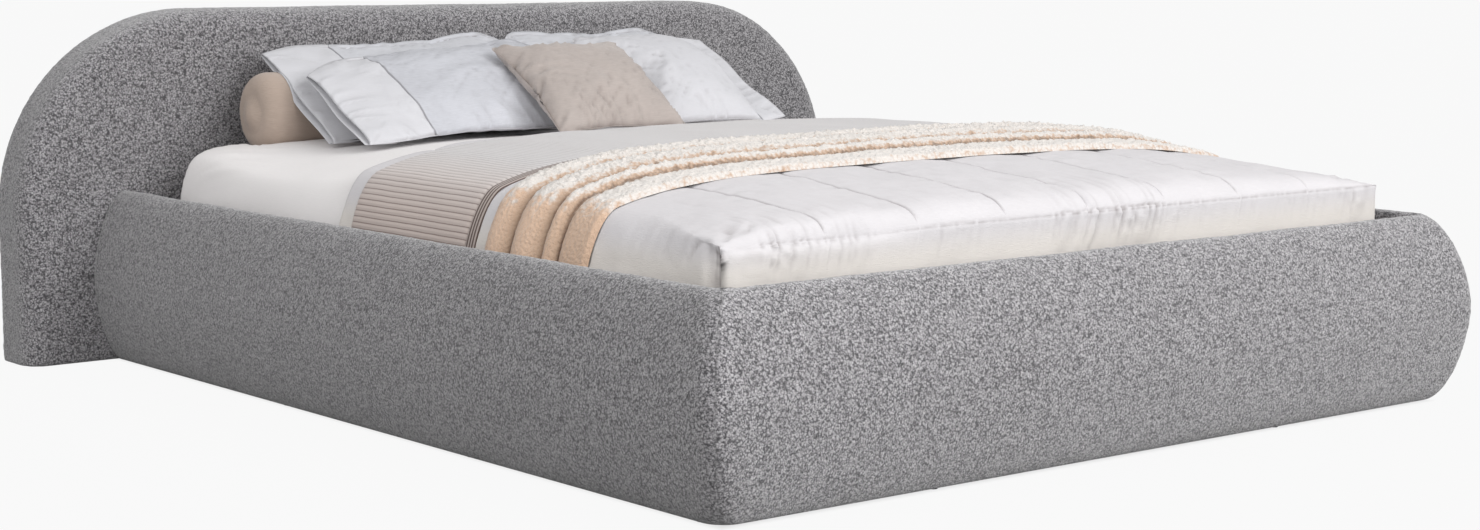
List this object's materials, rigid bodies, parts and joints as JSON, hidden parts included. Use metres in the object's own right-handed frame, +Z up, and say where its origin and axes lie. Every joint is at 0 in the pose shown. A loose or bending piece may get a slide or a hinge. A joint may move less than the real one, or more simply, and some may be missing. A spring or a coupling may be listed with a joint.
{
  "type": "upholstered bed",
  "caption": "Double bed with a bulging boucle base, a wide round-cornered headboard, slats, mattress and layered bedding.",
  "frame": {"origin": "on the floor, at the centre of the overall length and width", "axes": "+Z up; +Y along the bed to the headboard; +X across the bed, to the right when seen from the foot"},
  "size_m": [2.435, 2.512, 0.825],
  "materials": {
    "boucle": "mid-grey boucle with pale and dark loops, matt",
    "plywood": "unfinished birch plywood",
    "pine": "planed softwood",
    "slat_wood": "laminated bentwood slat, clear lacquer",
    "zinc_steel": "zinc-plated steel",
    "tape_webbing": "black woven webbing",
    "glide_plastic": "black nylon glide",
    "mattress_ticking": "off-white knitted ticking",
    "sheet_cotton": "white cotton, matt",
    "quilt_cotton": "near-white quilted cotton, ivory at the hem",
    "runner_rib": "taupe ribbed knit",
    "border_stripe": "dark brown striped weave",
    "throw_plush": "cream and tan plush pile",
    "bolster_cotton": "taupe cotton",
    "pillow_pale": "pale grey cotton with a white cuff",
    "pillow_blue_grey": "pale blue-grey cotton",
    "pillow_white": "white cotton",
    "cushion_linen": "taupe linen"
  },
  "bodies": {
    "bed_frame": {"headboard_upholstery": "boucle", "side_rail_upholstery_left": "boucle", "side_rail_upholstery_right": "boucle", "foot_rail_upholstery": "boucle", "side_rail_board_left": "plywood", "side_rail_board_right": "plywood", "foot_rail_board": "plywood", "head_cross_board": "plywood", "headboard_front_panel": "plywood", "headboard_back_panel": "plywood", "headboard_rim": "plywood", "slat_ledge_left": "pine", "slat_ledge_right": "pine", "centre_beam": "pine", "centre_leg_1": "pine", "centre_leg_2": "pine", "centre_leg_3": "pine", "headboard_studs": "pine", "slat_01": "slat_wood", "slat_02": "slat_wood", "slat_03": "slat_wood", "slat_04": "slat_wood", "slat_05": "slat_wood", "slat_06": "slat_wood", "slat_07": "slat_wood", "slat_08": "slat_wood", "slat_09": "slat_wood", "slat_10": "slat_wood", "slat_11": "slat_wood", "slat_12": "slat_wood", "slat_13": "slat_wood", "beam_hanger_foot": "zinc_steel", "beam_hanger_head": "zinc_steel", "corner_bracket_foot_left": "zinc_steel", "corner_bracket_foot_right": "zinc_steel", "corner_bracket_head_left": "zinc_steel", "corner_bracket_head_right": "zinc_steel", "corner_bracket_screws": "zinc_steel", "hanger_screws": "zinc_steel", "headboard_bolts": "zinc_steel", "headboard_washers": "zinc_steel", "tee_nuts": "zinc_steel", "ledge_screws": "zinc_steel", "leg_bolts": "zinc_steel", "slat_tapes": "tape_webbing", "rail_glides": "glide_plastic", "headboard_glides": "glide_plastic", "leg_glides": "glide_plastic"},
    "mattress_and_bedding": {"mattress": "mattress_ticking", "fitted_sheet": "sheet_cotton", "quilt": "quilt_cotton", "runner": "runner_rib", "runner_border": "border_stripe", "throw_blanket": "throw_plush"},
    "bolster_roll": {"bolster": "bolster_cotton"},
    "rear_left_pillow": {"pillow_rear_left": "pillow_pale"},
    "rear_right_pillow": {"pillow_rear_right": "pillow_blue_grey"},
    "front_left_pillow": {"pillow_front_left": "pillow_blue_grey"},
    "front_right_pillow": {"pillow_front_right": "pillow_white"},
    "small_cushion": {"accent_cushion": "cushion_linen"}
  },
  "joints": [
    {"name": "mattress_lift", "type": "slide", "parent": "bed_frame", "child": "mattress_and_bedding", "axis": [0, 0, 1], "range_m": [0, 0.35]},
    {"name": "bolster_lift", "type": "slide", "parent": "mattress_and_bedding", "child": "bolster_roll", "axis": [0, 0, 1], "range_m": [0, 0.3]},
    {"name": "rear_left_pillow_lift", "type": "slide", "parent": "bolster_roll", "child": "rear_left_pillow", "axis": [0, 0, 1], "range_m": [0, 0.3]},
    {"name": "rear_right_pillow_lift", "type": "slide", "parent": "bolster_roll", "child": "rear_right_pillow", "axis": [0, 0, 1], "range_m": [0, 0.3]},
    {"name": "front_left_pillow_lift", "type": "slide", "parent": "rear_left_pillow", "child": "front_left_pillow", "axis": [0, 0, 1], "range_m": [0, 0.3]},
    {"name": "front_right_pillow_lift", "type": "slide", "parent": "rear_right_pillow", "child": "front_right_pillow", "axis": [0, 0, 1], "range_m": [0, 0.3]},
    {"name": "small_cushion_lift", "type": "slide", "parent": "front_left_pillow", "child": "small_cushion", "axis": [0, 0, 1], "range_m": [0, 0.3]}
  ]
}
